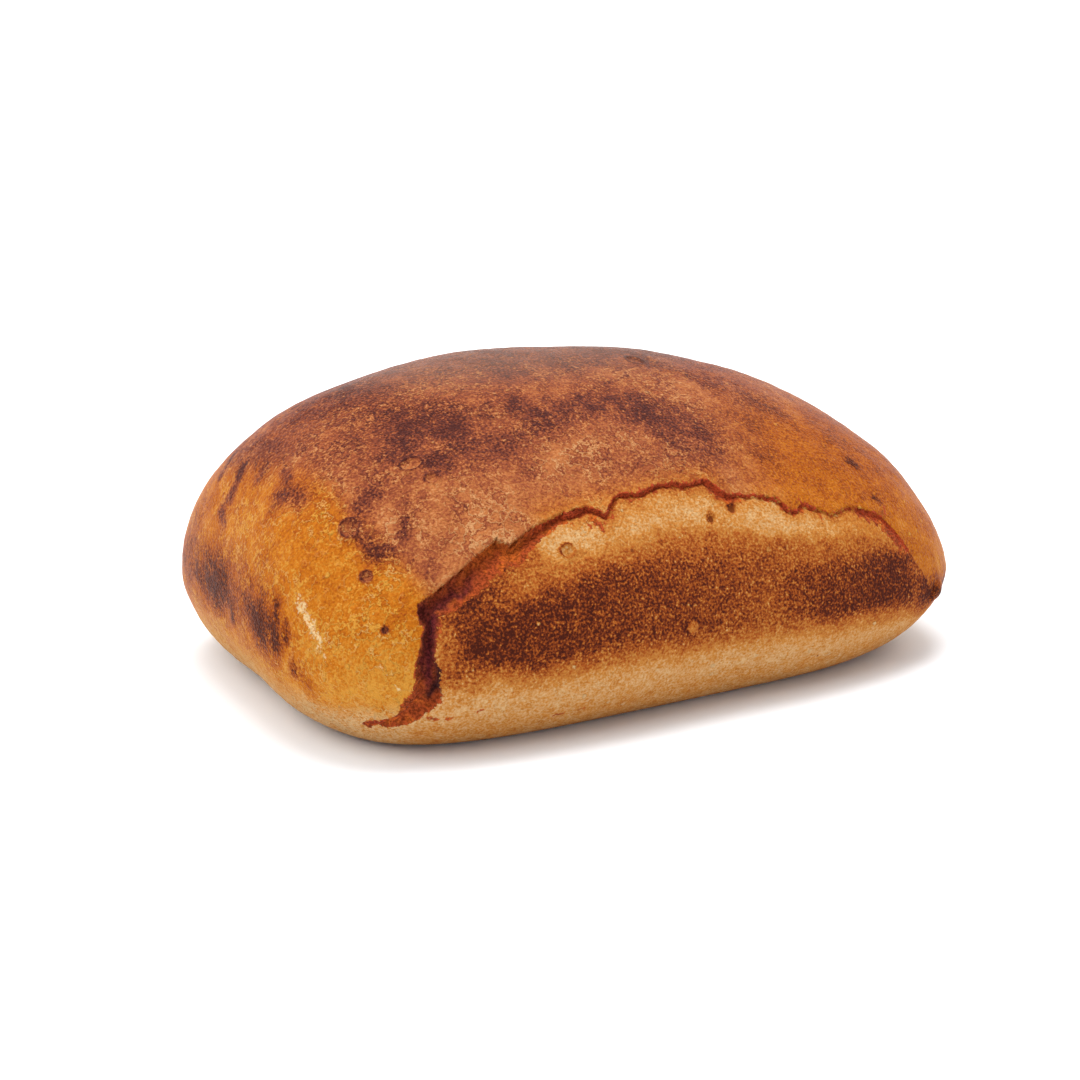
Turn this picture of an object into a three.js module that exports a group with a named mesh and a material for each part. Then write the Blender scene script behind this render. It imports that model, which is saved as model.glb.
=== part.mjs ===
// A milk bread: one free-baked loaf of soft dough, wider than it is high, with a domed
// browned top, nearly upright pan-like sides, a rounded foot and a flat underside.
// While it rose in the oven the skin tore along one long side and down a corner, and the
// top now hangs a little over the paler dough that pushed out below it.
// Millimetres. +X runs along the loaf, the torn side faces -Y, +Z is up, the underside is z = 0.

import * as THREE from 'three';
import { mergeVertices } from 'three/addons/utils/BufferGeometryUtils.js';

const { clamp, lerp, smoothstep } = THREE.MathUtils;

// Overall size
const LENGTH = 200;
const WIDTH = 140;
const HEIGHT = 82.3;
const BELLY = 23; // height at which the loaf is longest and widest

// The underside, as shares of the half length and half width at the belly
const FOOT_LEFT = 0.82;
const FOOT_RIGHT = 0.68; // the right end is lifted, so less of it touches the table
const FOOT_SIDES = 0.78;
const FOOT_ROUND = 1.7; // 2 would be a quarter ellipse from underside to belly

// Roundness of the outline seen from above: 2 is an ellipse, more is squarer
const CORNERS_FOOT = 4.6;
const CORNERS_BELLY = 4;
const CORNERS_TOP = 1.85;

// Roundness of the dome: 2 is a quarter ellipse from belly to crown
const DOME_ENDS = 2.25;
const DOME_SIDES = 1.86;

// The crown sits off the middle, and the dome is a touch lower at the right end
const CROWN_SHIFT_X = -8.4;
const CROWN_SHIFT_Y = 3.1;
const RIGHT_END_DROP = 0.04;

// Slow unevenness of hand-shaped dough: height in mm and wavelengths in mm
const UNEVEN = 0.35;
const UNEVEN_WAVES = [61, 43, 34];

// The long tear, from the foot of the left corner up and along the side to the right end.
// x and z of the edge of the overhanging top skin, from left to right as one faces that side.
const LONG_TEAR_EDGE = [
  [-85, 10], [-80.5, 13.5], [-78, 19], [-76.5, 25], [-75, 32], [-74.5, 38.5],
  [-68.5, 42], [-60, 47], [-53, 50.5], [-50, 49.3], [-43, 52.3], [-34, 54.5],
  [-28, 55], [-24, 53.2], [-20, 56], [-13.5, 56.3], [-6.5, 58], [0, 56.5],
  [6.5, 57], [12.5, 53], [21.5, 51.7], [26, 51], [30, 47.5], [35, 48.8],
  [42, 45], [48.5, 45.8], [54, 44.6], [60, 41.8], [64, 37.7], [67.5, 32.5],
];

// Width of the torn strip below that edge, its depth, and how far the skin above it swells
// out, each with the x where it holds; between them they change steadily
const LONG_TEAR_SHAPE = [
  { x: -85, width: 1.5, depth: 0.2, lip: 0.1 },
  { x: -80, width: 4.5, depth: 1.2, lip: 0.4 },
  { x: -77, width: 5.5, depth: 3.6, lip: 0.8 },
  { x: -75, width: 4.2, depth: 3.4, lip: 1 },
  { x: -72, width: 4.6, depth: 2.4, lip: 1.1 },
  { x: -52, width: 4.6, depth: 2, lip: 1.1 },
  { x: -38, width: 2.8, depth: 1.5, lip: 0.9 },
  { x: -24, width: 2, depth: 1.4, lip: 0.8 },
  { x: 8, width: 1.6, depth: 1.1, lip: 0.7 },
  { x: 40, width: 1.4, depth: 0.9, lip: 0.6 },
  { x: 58, width: 2.4, depth: 0.7, lip: 0.5 },
  { x: 67.5, width: 1.6, depth: 0.1, lip: 0 },
];

// A shorter, shallower tear of the same kind on the far side, also from left to right
const FAR_TEAR_EDGE = [
  [24, 52], [16, 51.5], [9, 54], [0, 54.5], [-8, 52.5], [-15, 53.5], [-24, 52], [-31, 49],
  [-38, 49.5], [-46, 46],
];
const FAR_TEAR_SHAPE = [
  { x: -46, width: 1, depth: 0.1, lip: 0 },
  { x: -30, width: 2.2, depth: 1, lip: 0.5 },
  { x: 5, width: 2, depth: 1, lip: 0.6 },
  { x: 24, width: 1, depth: 0.1, lip: 0 },
];

const LIP_REACH = 5; // mm over which the swollen skin above a tear sinks back to the form
const TEAR_DROP = 0.55; // mm across the steep face under the lip
const TEAR_REACH = 14; // mm past which a tear has no effect

// Burst bubbles, blisters and pores, in mm; height is outward, and a rim is a raised ring
const BUBBLES = [
  { above: [-64.5, -34.8], radius: 3.2, height: 0.9, rim: 0 },
  { above: [-61.5, -40.5], radius: 2.6, height: -1.1, rim: 0.5 },
  { above: [-82.5, -39.5], radius: 2, height: -1, rim: 0.5 },
  { above: [14.5, -9.8], radius: 2.8, height: -0.6, rim: 0.2 },
  { side: [-83, 44.5], radius: 1.6, height: -0.8, rim: 0.3 },
  { side: [-82, 33.4], radius: 1, height: -0.9, rim: 0 },
  { side: [5.6, 48.9], radius: 1.1, height: -1, rim: 0 },
  { side: [12.4, 50.3], radius: 1.1, height: -0.9, rim: 0 },
  { side: [-5.6, 25.1], radius: 2, height: 0.5, rim: 0 },
  { side: [79, 18.4], radius: 2.4, height: 1.7, rim: 0 }, // scorched nub on the right corner
];

// Mesh: cells of the first grid, and the longest edge left in each place, in mm
const CELLS_LONG = 22;
const CELLS_WIDE = 16;
const CELLS_HIGH = 9;
const FOOT_CELLS = 3; // of CELLS_HIGH, those between underside and belly
const CAP_START = 0.62; // share of the dome's curve, from the belly, where the sides end
const EDGE_PLAIN = 7.5;
const EDGE_TEAR = 1.9;
const EDGE_GROWTH = 0.9; // mm longer for each mm away from a tear
const EDGE_BUBBLE = 0.95; // of the bubble's radius
const SNAP = 0.7; // mm from a tear's edge within which mesh points move onto it
const SPLIT_PASSES = 12;

const CRUST = new THREE.MeshStandardMaterial({ color: 0xb5703a, roughness: 0.55, metalness: 0 });

// ---------------------------------------------------------------- smooth form

// Half length and half width of the level cut at height z, as shares of those at the belly
function levelCut(z) {
  if (z <= BELLY) {
    const bulge = (1 - (1 - z / BELLY) ** FOOT_ROUND) ** (1 / FOOT_ROUND);
    return {
      left: lerp(FOOT_LEFT, 1, bulge),
      right: lerp(FOOT_RIGHT, 1, bulge),
      sides: lerp(FOOT_SIDES, 1, bulge),
      corners: lerp(CORNERS_FOOT, CORNERS_BELLY, z / BELLY),
    };
  }
  const up = Math.min(1, (z - BELLY) / (HEIGHT - BELLY));
  const ends = (1 - up ** DOME_ENDS) ** (1 / DOME_ENDS);
  return {
    left: ends,
    right: ends,
    sides: (1 - up ** DOME_SIDES) ** (1 / DOME_SIDES),
    corners: lerp(CORNERS_BELLY, CORNERS_TOP, up),
  };
}

// Point of the skin at level z, in direction (u, v) of a unit square seen from above;
// `reach` is 1 on the outline and less inside it, which only the underside uses
function skinAt(u, v, z, reach = 1) {
  const { left, right, sides, corners } = levelCut(z);
  const spread = (Math.abs(u) ** corners + Math.abs(v) ** corners) ** (1 / corners);
  const toOutline = reach / (spread || 1);
  const x = (LENGTH / 2) * (u < 0 ? left : right) * u * toOutline;
  const y = (WIDTH / 2) * sides * v * toOutline;
  const rise = z / HEIGHT;
  const tilt = 1 - (RIGHT_END_DROP * x * rise) / (LENGTH / 2);
  return new THREE.Vector3(x + CROWN_SHIFT_X * rise ** 2, y + CROWN_SHIFT_Y * rise ** 2, z * tilt);
}

// Point of the skin for a point of the cube from -1 to 1: its lower face is the underside,
// its upper face the cap of the dome, and its four walls all that lies between them
function skinOfCube({ x: u, y: v, z: w }) {
  const across = Math.max(Math.abs(u), Math.abs(v));
  if (w < -1 + 1e-6) return skinAt(u / (across || 1), v / (across || 1), 0, across);

  const middle = -1 + (2 * FOOT_CELLS) / CELLS_HIGH;
  if (w < middle) {
    const turn = ((w + 1) / (middle + 1)) * (Math.PI / 2);
    return skinAt(u, v, BELLY * (1 - Math.cos(turn) ** (2 / FOOT_ROUND)));
  }
  const dome = (DOME_ENDS + DOME_SIDES) / 2;
  const capReach = Math.cos(CAP_START * (Math.PI / 2)) ** (2 / dome);
  let up = 0;
  if (w > 1 - 1e-6) up = (1 - (across * capReach) ** dome) ** (1 / dome);
  else up = Math.sin(((w - middle) / (1 - middle)) * CAP_START * (Math.PI / 2)) ** (2 / dome);
  return skinAt(u / (across || 1), v / (across || 1), lerp(BELLY, HEIGHT, up));
}

// Whether a point is inside the smooth form
function isInside(point) {
  let z = point.z;
  let x = point.x;
  for (let step = 0; step < 4; step++) {
    const rise = z / HEIGHT;
    x = point.x - CROWN_SHIFT_X * rise ** 2;
    z = point.z / (1 - (RIGHT_END_DROP * x * rise) / (LENGTH / 2));
  }
  if (z < 0 || z > HEIGHT) return false;
  const y = point.y - CROWN_SHIFT_Y * (z / HEIGHT) ** 2;
  const { left, right, sides, corners } = levelCut(z);
  const alongShare = Math.abs(x) / ((LENGTH / 2) * (x < 0 ? left : right));
  return alongShare ** corners + (Math.abs(y) / ((WIDTH / 2) * sides)) ** corners < 1;
}

// Where the line from a point inside to a point outside passes through the skin
function throughSkin(inside, outside) {
  for (let step = 0; step < 30; step++) {
    const middle = inside.clone().lerp(outside, 0.5);
    if (isInside(middle)) inside = middle;
    else outside = middle;
  }
  return inside;
}

function onSide(x, z, facing = -1) {
  return throughSkin(new THREE.Vector3(x, 0, z), new THREE.Vector3(x, facing * WIDTH, z));
}

function onTop(x, y) {
  return throughSkin(new THREE.Vector3(x, y, BELLY), new THREE.Vector3(x, y, 2 * HEIGHT));
}

// ---------------------------------------------------------------- relief of the crust

// A tear as the chain of its edge points on the skin, with its shape at each of them
function makeTear(edge, shape, facing) {
  const points = edge.map(([x, z]) => onSide(x, z, facing));
  const shapes = points.map(({ x }) => {
    const next = clamp(shape.findIndex((entry) => entry.x >= x), 1, shape.length - 1);
    const share = clamp((x - shape[next - 1].x) / (shape[next].x - shape[next - 1].x), 0, 1);
    const between = (name) => lerp(shape[next - 1][name], shape[next][name], share);
    return { width: between('width'), depth: between('depth'), lip: between('lip') };
  });
  return { points, shapes };
}

const TEARS = [
  makeTear(LONG_TEAR_EDGE, LONG_TEAR_SHAPE, -1),
  makeTear(FAR_TEAR_EDGE, FAR_TEAR_SHAPE, 1),
];
const MARKS = BUBBLES.map(({ above, side, ...bubble }) => ({
  ...bubble,
  centre: above ? onTop(...above) : onSide(...side),
}));

// Nearest place of a tear's edge: how far off it is, how far above it, and the shape there
function nearestOfTear({ points, shapes }, place) {
  let best = { distance: Infinity };
  for (let i = 0; i + 1 < points.length; i++) {
    const along = points[i + 1].clone().sub(points[i]);
    const share = clamp(place.clone().sub(points[i]).dot(along) / along.lengthSq(), 0, 1);
    const offset = place.clone().sub(points[i]).addScaledVector(along, -share);
    const distance = offset.length();
    if (distance >= best.distance) continue;
    const upward = new THREE.Vector3(0, place.y, 0).cross(along);
    const shape = {};
    for (const name of ['width', 'depth', 'lip']) {
      shape[name] = lerp(shapes[i][name], shapes[i + 1][name], share);
    }
    best = { distance, offset, above: offset.dot(upward) >= 0 ? distance : -distance, ...shape };
  }
  return best;
}

// How far the skin stands out of the smooth form near a tear
function tearRelief({ above, width, depth, lip }) {
  if (above >= 0) return lip * Math.exp(-((above / LIP_REACH) ** 2));
  const below = -above;
  if (below < TEAR_DROP) return lerp(lip, -depth, smoothstep(below, 0, TEAR_DROP));
  return -depth * (1 - smoothstep(below, TEAR_DROP, Math.max(width, 2 * TEAR_DROP)));
}

// How far the skin stands out at a burst bubble, blister or pore
function bubbleRelief({ radius, height, rim }, distance) {
  const bowl = height * Math.max(0, 1 - (distance / radius) ** 2);
  return bowl + rim * Math.exp(-(((distance - radius) / (0.35 * radius)) ** 2));
}

// Slow rises and hollows over the whole skin
function unevenness({ x, y, z }) {
  const [first, second, third] = UNEVEN_WAVES.map((wave) => (2 * Math.PI) / wave);
  return (
    UNEVEN * Math.sin(first * x + 1.1) * Math.cos(second * y + 0.4) +
    0.5 * UNEVEN * Math.sin(third * (z + 0.6 * y) + 2.3) * Math.cos(second * x)
  );
}

// All relief at a place of the smooth skin, fading out where the underside begins
function reliefAt(place) {
  let relief = unevenness(place);
  for (const tear of TEARS) {
    const near = nearestOfTear(tear, place);
    if (near.distance < TEAR_REACH) relief += tearRelief(near);
  }
  for (const mark of MARKS) {
    const distance = mark.centre.distanceTo(place);
    if (distance < 3 * mark.radius) relief += bubbleRelief(mark, distance);
  }
  return relief * smoothstep(place.z, 0, BELLY / 4);
}

// ---------------------------------------------------------------- mesh

// Longest edge wanted at a place
function edgeWanted(place) {
  let wanted = EDGE_PLAIN;
  for (const tear of TEARS) {
    const { distance } = nearestOfTear(tear, place);
    wanted = Math.min(wanted, EDGE_TEAR + EDGE_GROWTH * Math.max(0, distance - LIP_REACH / 2));
  }
  for (const mark of MARKS) {
    const away = Math.max(0, mark.centre.distanceTo(place) - mark.radius);
    wanted = Math.min(wanted, EDGE_BUBBLE * mark.radius + EDGE_GROWTH * away);
  }
  return wanted;
}

// Splits every edge that is too long, and with it the longest edge of its triangles, so that
// the triangles stay shapely and still meet edge to edge
function splitLongEdges(cube, skin, triangles) {
  const keyOf = (a, b) => `${Math.min(a, b)} ${Math.max(a, b)}`;
  const lengthOf = (a, b) => skin[a].distanceTo(skin[b]);
  const middles = new Map();

  // each triangle starts with its longest edge
  const turned = triangles.map(([a, b, c]) => {
    const [ab, bc, ca] = [lengthOf(a, b), lengthOf(b, c), lengthOf(c, a)];
    if (bc > ab && bc >= ca) return [b, c, a];
    return ca > ab ? [c, a, b] : [a, b, c];
  });
  const mark = (a, b) => {
    const key = keyOf(a, b);
    if (!middles.has(key)) {
      const middle = cube[a].clone().lerp(cube[b], 0.5);
      middles.set(key, cube.length);
      cube.push(middle);
      skin.push(skinOfCube(middle));
    }
  };
  const checked = new Map();
  const isTooLong = (a, b) => {
    const key = keyOf(a, b);
    if (!checked.has(key)) {
      checked.set(key, lengthOf(a, b) > edgeWanted(skin[a].clone().lerp(skin[b], 0.5)));
    }
    return checked.get(key);
  };
  const onUnderside = (corners) => corners.every((corner) => cube[corner].z < -1 + 1e-6);
  for (const [a, b, c] of turned) {
    if (onUnderside([a, b, c])) continue;
    for (const [from, to] of [[a, b], [b, c], [c, a]]) {
      if (isTooLong(from, to)) mark(from, to);
    }
  }
  const found = middles.size;
  for (let grown = true; grown; ) {
    grown = false;
    for (const [a, b, c] of turned) {
      if (middles.has(keyOf(a, b))) continue;
      if (!middles.has(keyOf(b, c)) && !middles.has(keyOf(c, a))) continue;
      mark(a, b);
      grown = true;
    }
  }

  const halve = ([a, b, c]) => {
    const middle = middles.get(keyOf(a, b));
    return middle === undefined ? [[a, b, c]] : [[middle, c, a], [middle, b, c]];
  };
  const result = [];
  for (const triangle of turned) {
    const halves = halve(triangle);
    if (halves.length === 1) {
      result.push(triangle);
      continue;
    }
    // the outer edge of each half may be split as well
    const [[middle, c, a], [, b]] = halves;
    result.push(...halve([c, a, middle]), ...halve([b, c, middle]));
  }
  return { triangles: result, found };
}

// Moves a mesh point that is close to a tear's edge onto it, so that the edge is one clean line
function snapToTears(place) {
  for (const tear of TEARS) {
    const { distance, offset } = nearestOfTear(tear, place);
    if (distance < SNAP) place.sub(offset);
  }
}

// The closed skin of the whole loaf as one indexed geometry
function makeLoaf() {
  const box = new THREE.BoxGeometry(2, 2, 2, CELLS_LONG, CELLS_WIDE, CELLS_HIGH);
  box.deleteAttribute('normal');
  box.deleteAttribute('uv');
  const grid = mergeVertices(box);
  const cube = [];
  for (let i = 0; i < grid.attributes.position.count; i++) {
    cube.push(new THREE.Vector3().fromBufferAttribute(grid.attributes.position, i));
  }
  const skin = cube.map(skinOfCube);
  const corners = Array.from(grid.index.array);
  let triangles = corners.flatMap((_, i) => (i % 3 ? [] : [corners.slice(i, i + 3)]));
  for (let pass = 0, found = 1; pass < SPLIT_PASSES && found; pass++) {
    ({ triangles, found } = splitLongEdges(cube, skin, triangles));
  }
  skin.forEach(snapToTears);

  const loaf = new THREE.BufferGeometry().setFromPoints(skin);
  loaf.setIndex(triangles.flat());
  loaf.computeVertexNormals();
  const outward = new THREE.Vector3();
  const moved = skin.map((place, i) => {
    outward.fromBufferAttribute(loaf.attributes.normal, i);
    return place.clone().addScaledVector(outward, reliefAt(place));
  });
  loaf.setFromPoints(moved);

  // the origin is the middle of the loaf's box, on the table
  loaf.computeBoundingBox();
  const middle = loaf.boundingBox.getCenter(new THREE.Vector3());
  loaf.translate(-middle.x, -middle.y, 0);
  return loaf;
}

const milkBread = new THREE.Group();
milkBread.name = 'milk_bread';

const loaf = new THREE.Mesh(makeLoaf(), CRUST);
loaf.name = 'loaf';
milkBread.add(loaf);

export default milkBread;
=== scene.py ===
import math
from collections import namedtuple

import bmesh
import bpy
import numpy as np
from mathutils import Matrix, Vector, noise


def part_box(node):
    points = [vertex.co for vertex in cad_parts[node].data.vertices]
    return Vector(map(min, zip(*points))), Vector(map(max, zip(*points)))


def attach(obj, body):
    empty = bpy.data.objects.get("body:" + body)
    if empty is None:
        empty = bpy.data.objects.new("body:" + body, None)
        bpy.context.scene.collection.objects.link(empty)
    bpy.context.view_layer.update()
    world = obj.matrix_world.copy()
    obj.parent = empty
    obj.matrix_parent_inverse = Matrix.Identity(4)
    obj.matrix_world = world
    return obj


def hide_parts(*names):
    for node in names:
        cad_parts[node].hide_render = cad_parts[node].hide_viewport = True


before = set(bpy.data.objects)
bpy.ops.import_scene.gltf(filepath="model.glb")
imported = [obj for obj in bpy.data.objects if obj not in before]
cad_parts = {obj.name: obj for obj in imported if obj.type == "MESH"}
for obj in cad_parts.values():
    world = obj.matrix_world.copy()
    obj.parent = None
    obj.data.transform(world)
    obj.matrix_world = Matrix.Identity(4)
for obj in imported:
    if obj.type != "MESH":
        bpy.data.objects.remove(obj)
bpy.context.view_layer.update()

# Camera: low over the near long side and a little round to the loaf's left end, from half a
# metre away. The view is as narrow as a short telephoto lens gives.
VIEW_AZIMUTH = math.radians(-29.3)
VIEW_ELEVATION = math.radians(16.1)
VIEW_DISTANCE = 0.500
VIEW_TARGET = Vector((-0.0065, 0.0038, 0.02885))
FOCAL_MM = 60.3
SENSOR_MM = 36

camera_data = bpy.data.cameras.new("camera")
camera_data.lens = FOCAL_MM
camera_data.sensor_width = SENSOR_MM
camera = bpy.data.objects.new("camera", camera_data)
bpy.context.collection.objects.link(camera)
towards_camera = Vector((
    math.sin(VIEW_AZIMUTH) * math.cos(VIEW_ELEVATION),
    -math.cos(VIEW_AZIMUTH) * math.cos(VIEW_ELEVATION),
    math.sin(VIEW_ELEVATION),
))
camera.location = VIEW_TARGET + VIEW_DISTANCE * towards_camera
camera.rotation_euler = towards_camera.to_track_quat("Z", "Y").to_euler()
bpy.context.scene.camera = camera
bpy.context.scene.view_settings.view_transform = "Standard"

# Studio: a white floor that sweeps up all round like a bowl, far from the loaf, under a bright
# surround. Three soft lamps stand over it: one high on the left, a weaker one high on the right,
# and one nearly overhead, a little behind the loaf.
FLOOR_COLOUR = (0.86, 0.89, 0.92, 1)
FLOOR_RADIUS = 4
FLOOR_SIDES = 96
FLOOR_GAP = 0.0001
SWEEP_RADIUS = 1.5
SWEEP_STEPS = 8
SWEEP_TURN = 80
SURROUND_STRENGTH = 0.56
LAMPS = {
    "lamp_left": {"azimuth": -92, "elevation": 50, "strength": 1.8, "spread": 50},
    "lamp_right": {"azimuth": 105, "elevation": 50, "strength": 1.2, "spread": 60},
    "lamp_above": {"azimuth": 165, "elevation": 78, "strength": 2.2, "spread": 36},
}

bpy.ops.object.select_all(action="DESELECT")
bpy.ops.mesh.primitive_circle_add(
    vertices=FLOOR_SIDES, radius=FLOOR_RADIUS, fill_type="NGON", location=(0, 0, -FLOOR_GAP)
)
floor = bpy.context.object
floor.name = "studio_floor"
bpy.ops.object.mode_set(mode="EDIT")
reach, rise = FLOOR_RADIUS, 0
for step in range(SWEEP_STEPS):
    turn = math.radians(SWEEP_TURN * (step + 1) / SWEEP_STEPS)
    new_reach = FLOOR_RADIUS + SWEEP_RADIUS * math.sin(turn)
    new_rise = SWEEP_RADIUS * (1 - math.cos(turn))
    bpy.ops.mesh.extrude_region_move()
    bpy.ops.transform.resize(value=(new_reach / reach, new_reach / reach, 1))
    bpy.ops.transform.translate(value=(0, 0, new_rise - rise))
    reach, rise = new_reach, new_rise
bpy.ops.mesh.delete(type="ONLY_FACE")
bpy.ops.object.mode_set(mode="OBJECT")
bpy.ops.object.shade_smooth()
floor_paint = bpy.data.materials.new("white_floor")
floor_paint.use_nodes = True
floor_shader = floor_paint.node_tree.nodes["Principled BSDF"]
floor_shader.inputs["Base Color"].default_value = FLOOR_COLOUR
floor_shader.inputs["Roughness"].default_value = 1
floor_shader.inputs["Specular IOR Level"].default_value = 0
floor.data.materials.append(floor_paint)

surround = bpy.data.worlds.new("white_surround")
surround.use_nodes = True
surround.node_tree.nodes["Background"].inputs["Color"].default_value = (1, 1, 1, 1)
surround.node_tree.nodes["Background"].inputs["Strength"].default_value = SURROUND_STRENGTH
bpy.context.scene.world = surround

for lamp_name, facts in LAMPS.items():
    lamp_data = bpy.data.lights.new(lamp_name, "SUN")
    lamp_data.energy = facts["strength"]
    lamp_data.angle = math.radians(facts["spread"])
    lamp = bpy.data.objects.new(lamp_name, lamp_data)
    azimuth, elevation = math.radians(facts["azimuth"]), math.radians(facts["elevation"])
    lamp_side = Vector((math.sin(azimuth), -math.cos(azimuth), math.tan(elevation)))
    lamp.rotation_euler = lamp_side.to_track_quat("Z", "Y").to_euler()
    bpy.context.collection.objects.link(lamp)

# Loaf, its form: one piece of soft dough baked free on the oven floor, with a domed top, nearly
# upright sides, a rounded foot and a flat underside. All sizes are in millimetres.
LENGTH = 200
WIDTH = 140
HEIGHT = 82.3
BELLY = 23
FOOT_LEFT = 0.82
FOOT_RIGHT = 0.68
FOOT_SIDES = 0.78
FOOT_ROUND = 1.7
CORNERS_FOOT = 4.6
CORNERS_BELLY = 4
CORNERS_TOP = 1.85
DOME_ENDS = 2.25
DOME_SIDES = 1.86
CROWN_SHIFT = (-8.4, 3.1)
RIGHT_END_DROP = 0.04
CELLS = (22, 16, 9)
FOOT_CELLS = 3
CAP_START = 0.62
SAME = 1e-6


def lerp(low, high, share):
    return low + (high - low) * share


def skin_at(u, v, z, reach):
    """Points of the skin at level z, in direction (u, v) of a unit square seen from above."""
    down = np.clip(z / BELLY, 0, 1)
    bulge = (1 - (1 - down) ** FOOT_ROUND) ** (1 / FOOT_ROUND)
    up = np.clip((z - BELLY) / (HEIGHT - BELLY), 0, 1)
    ends = (1 - up**DOME_ENDS) ** (1 / DOME_ENDS)
    left = lerp(FOOT_LEFT, 1, bulge) * ends
    right = lerp(FOOT_RIGHT, 1, bulge) * ends
    sides = lerp(FOOT_SIDES, 1, bulge) * (1 - up**DOME_SIDES) ** (1 / DOME_SIDES)
    corners = lerp(lerp(CORNERS_FOOT, CORNERS_BELLY, down), CORNERS_TOP, up)
    spread = (np.abs(u) ** corners + np.abs(v) ** corners) ** (1 / corners)
    to_outline = reach / np.where(spread > 0, spread, 1)
    x = LENGTH / 2 * np.where(u < 0, left, right) * u * to_outline
    y = WIDTH / 2 * sides * v * to_outline
    rise = z / HEIGHT
    tilt = 1 - RIGHT_END_DROP * x * rise / (LENGTH / 2)
    return np.stack([x + CROWN_SHIFT[0] * rise**2, y + CROWN_SHIFT[1] * rise**2, z * tilt], 1)


def skin_of_cube(cube):
    """Points of the skin for points of the cube from -1 to 1: its lower face is the underside,
    its upper face the cap of the dome, and its four walls all that lies between them."""
    u, v, w = cube.T
    across = np.maximum(np.abs(u), np.abs(v))
    whole = np.where(across > 0, across, 1)
    middle = -1 + 2 * FOOT_CELLS / CELLS[2]
    turn = np.clip((w + 1) / (middle + 1), 0, 1) * math.pi / 2
    foot_level = BELLY * (1 - np.clip(np.cos(turn), 0, 1) ** (2 / FOOT_ROUND))
    dome = (DOME_ENDS + DOME_SIDES) / 2
    cap_reach = math.cos(CAP_START * math.pi / 2) ** (2 / dome)
    wall_share = np.clip((w - middle) / (1 - middle), 0, 1) * CAP_START
    wall_up = np.sin(wall_share * math.pi / 2) ** (2 / dome)
    cap_up = (1 - (across * cap_reach) ** dome) ** (1 / dome)
    up = np.where(w > 1 - SAME, cap_up, wall_up)
    level = np.where(w < middle, foot_level, lerp(BELLY, HEIGHT, up))
    underside = w < -1 + SAME
    reach = np.where(underside, across, 1)
    return skin_at(u / whole, v / whole, np.where(underside, 0, level), reach)


# Loaf, its tears and bubbles: the skin tore along the near side while the dough still rose, and
# hangs a little over the torn strip. Bubbles in the skin burst or baked as small blisters.
NEAR, FAR = -1, 1
TINY = 1e-9
LONG_TEAR_EDGE = [
    (-85, 10), (-80.5, 13.5), (-78, 19), (-76.5, 25), (-75, 32), (-74.5, 38.5),
    (-68.5, 42), (-60, 47), (-53, 50.5), (-50, 49.3), (-43, 52.3), (-34, 54.5),
    (-28, 55), (-24, 53.2), (-20, 56), (-13.5, 56.3), (-6.5, 58), (0, 56.5),
    (6.5, 57), (12.5, 53), (21.5, 51.7), (26, 51), (30, 47.5), (35, 48.8),
    (42, 45), (48.5, 45.8), (54, 44.6), (60, 41.8), (64, 37.7), (67.5, 32.5),
]
LONG_TEAR_SHAPE = {
    "x": (-85, -80.5, -78, -77, -76, -75, -74.5, -68, -58, -48, -38, -24, 8, 40, 58, 67.5),
    "width": (1.8, 4.5, 7, 6.6, 4, 4, 5.5, 6.4, 6, 4.2, 2.8, 2, 1.6, 1.4, 2.4, 1.6),
    "depth": (0.2, 1, 2.2, 2.6, 2.6, 2.6, 2.4, 2.2, 2, 1.7, 1.2, 0.9, 0.7, 0.6, 0.6, 0.1),
    "lip": (0, 0.1, 0.1, 0.1, 0.1, 0.2, 0.6, 0.9, 0.9, 0.8, 0.7, 0.6, 0.5, 0.4, 0.4, 0),
    "wall": (0.55, 1.2, 2, 2, 1.6, 1.4, 0.9, 0.6, 0.55, 0.55, 0.5, 0.45, 0.4, 0.4, 0.4, 0.4),
    "floor": (0, 0.3, 0.7, 0.7, 0.5, 0.3, 0.1, 0, 0, 0, 0, 0, 0, 0, 0, 0),
}
FAR_TEAR_EDGE = [
    (24, 52), (16, 51.5), (9, 54), (0, 54.5), (-8, 52.5), (-15, 53.5), (-24, 52), (-31, 49),
    (-38, 49.5), (-46, 46),
]
FAR_TEAR_SHAPE = {
    "x": (-46, -30, 5, 24),
    "width": (1, 2.2, 2, 1),
    "depth": (0.1, 0.8, 0.8, 0.1),
    "lip": (0, 0.5, 0.6, 0),
    "wall": (0.4, 0.4, 0.4, 0.4),
    "floor": (0, 0, 0, 0),
}


def is_inside(points):
    """Whether points lie inside the smooth form."""
    x, z = points[:, 0], points[:, 2]
    for _ in range(4):
        x = points[:, 0] - CROWN_SHIFT[0] * (z / HEIGHT) ** 2
        z = points[:, 2] / (1 - RIGHT_END_DROP * x * z / HEIGHT / (LENGTH / 2))
    y = points[:, 1] - CROWN_SHIFT[1] * (z / HEIGHT) ** 2
    level = np.clip(z, 0, HEIGHT * 0.99999)
    # the skin in the same direction and at the same level, with the crown's shift taken off
    size = np.maximum(np.maximum(np.abs(x) / LENGTH, np.abs(y) / WIDTH), TINY)
    skin = skin_at(x / LENGTH / size, y / WIDTH / size, level, 1)
    reach = skin[:, :2] - np.outer((level / HEIGHT) ** 2, CROWN_SHIFT)
    return (np.hypot(x, y) < np.hypot(reach[:, 0], reach[:, 1])) & (z < HEIGHT) & (z > 0)


def through_skin(inside, outside):
    """Where lines from points inside to points outside pass through the skin."""
    inside, outside = np.array(inside, float), np.array(outside, float)
    for _ in range(30):
        middle = (inside + outside) / 2
        kept = is_inside(middle)[:, None]
        inside = np.where(kept, middle, inside)
        outside = np.where(kept, outside, middle)
    return inside


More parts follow.
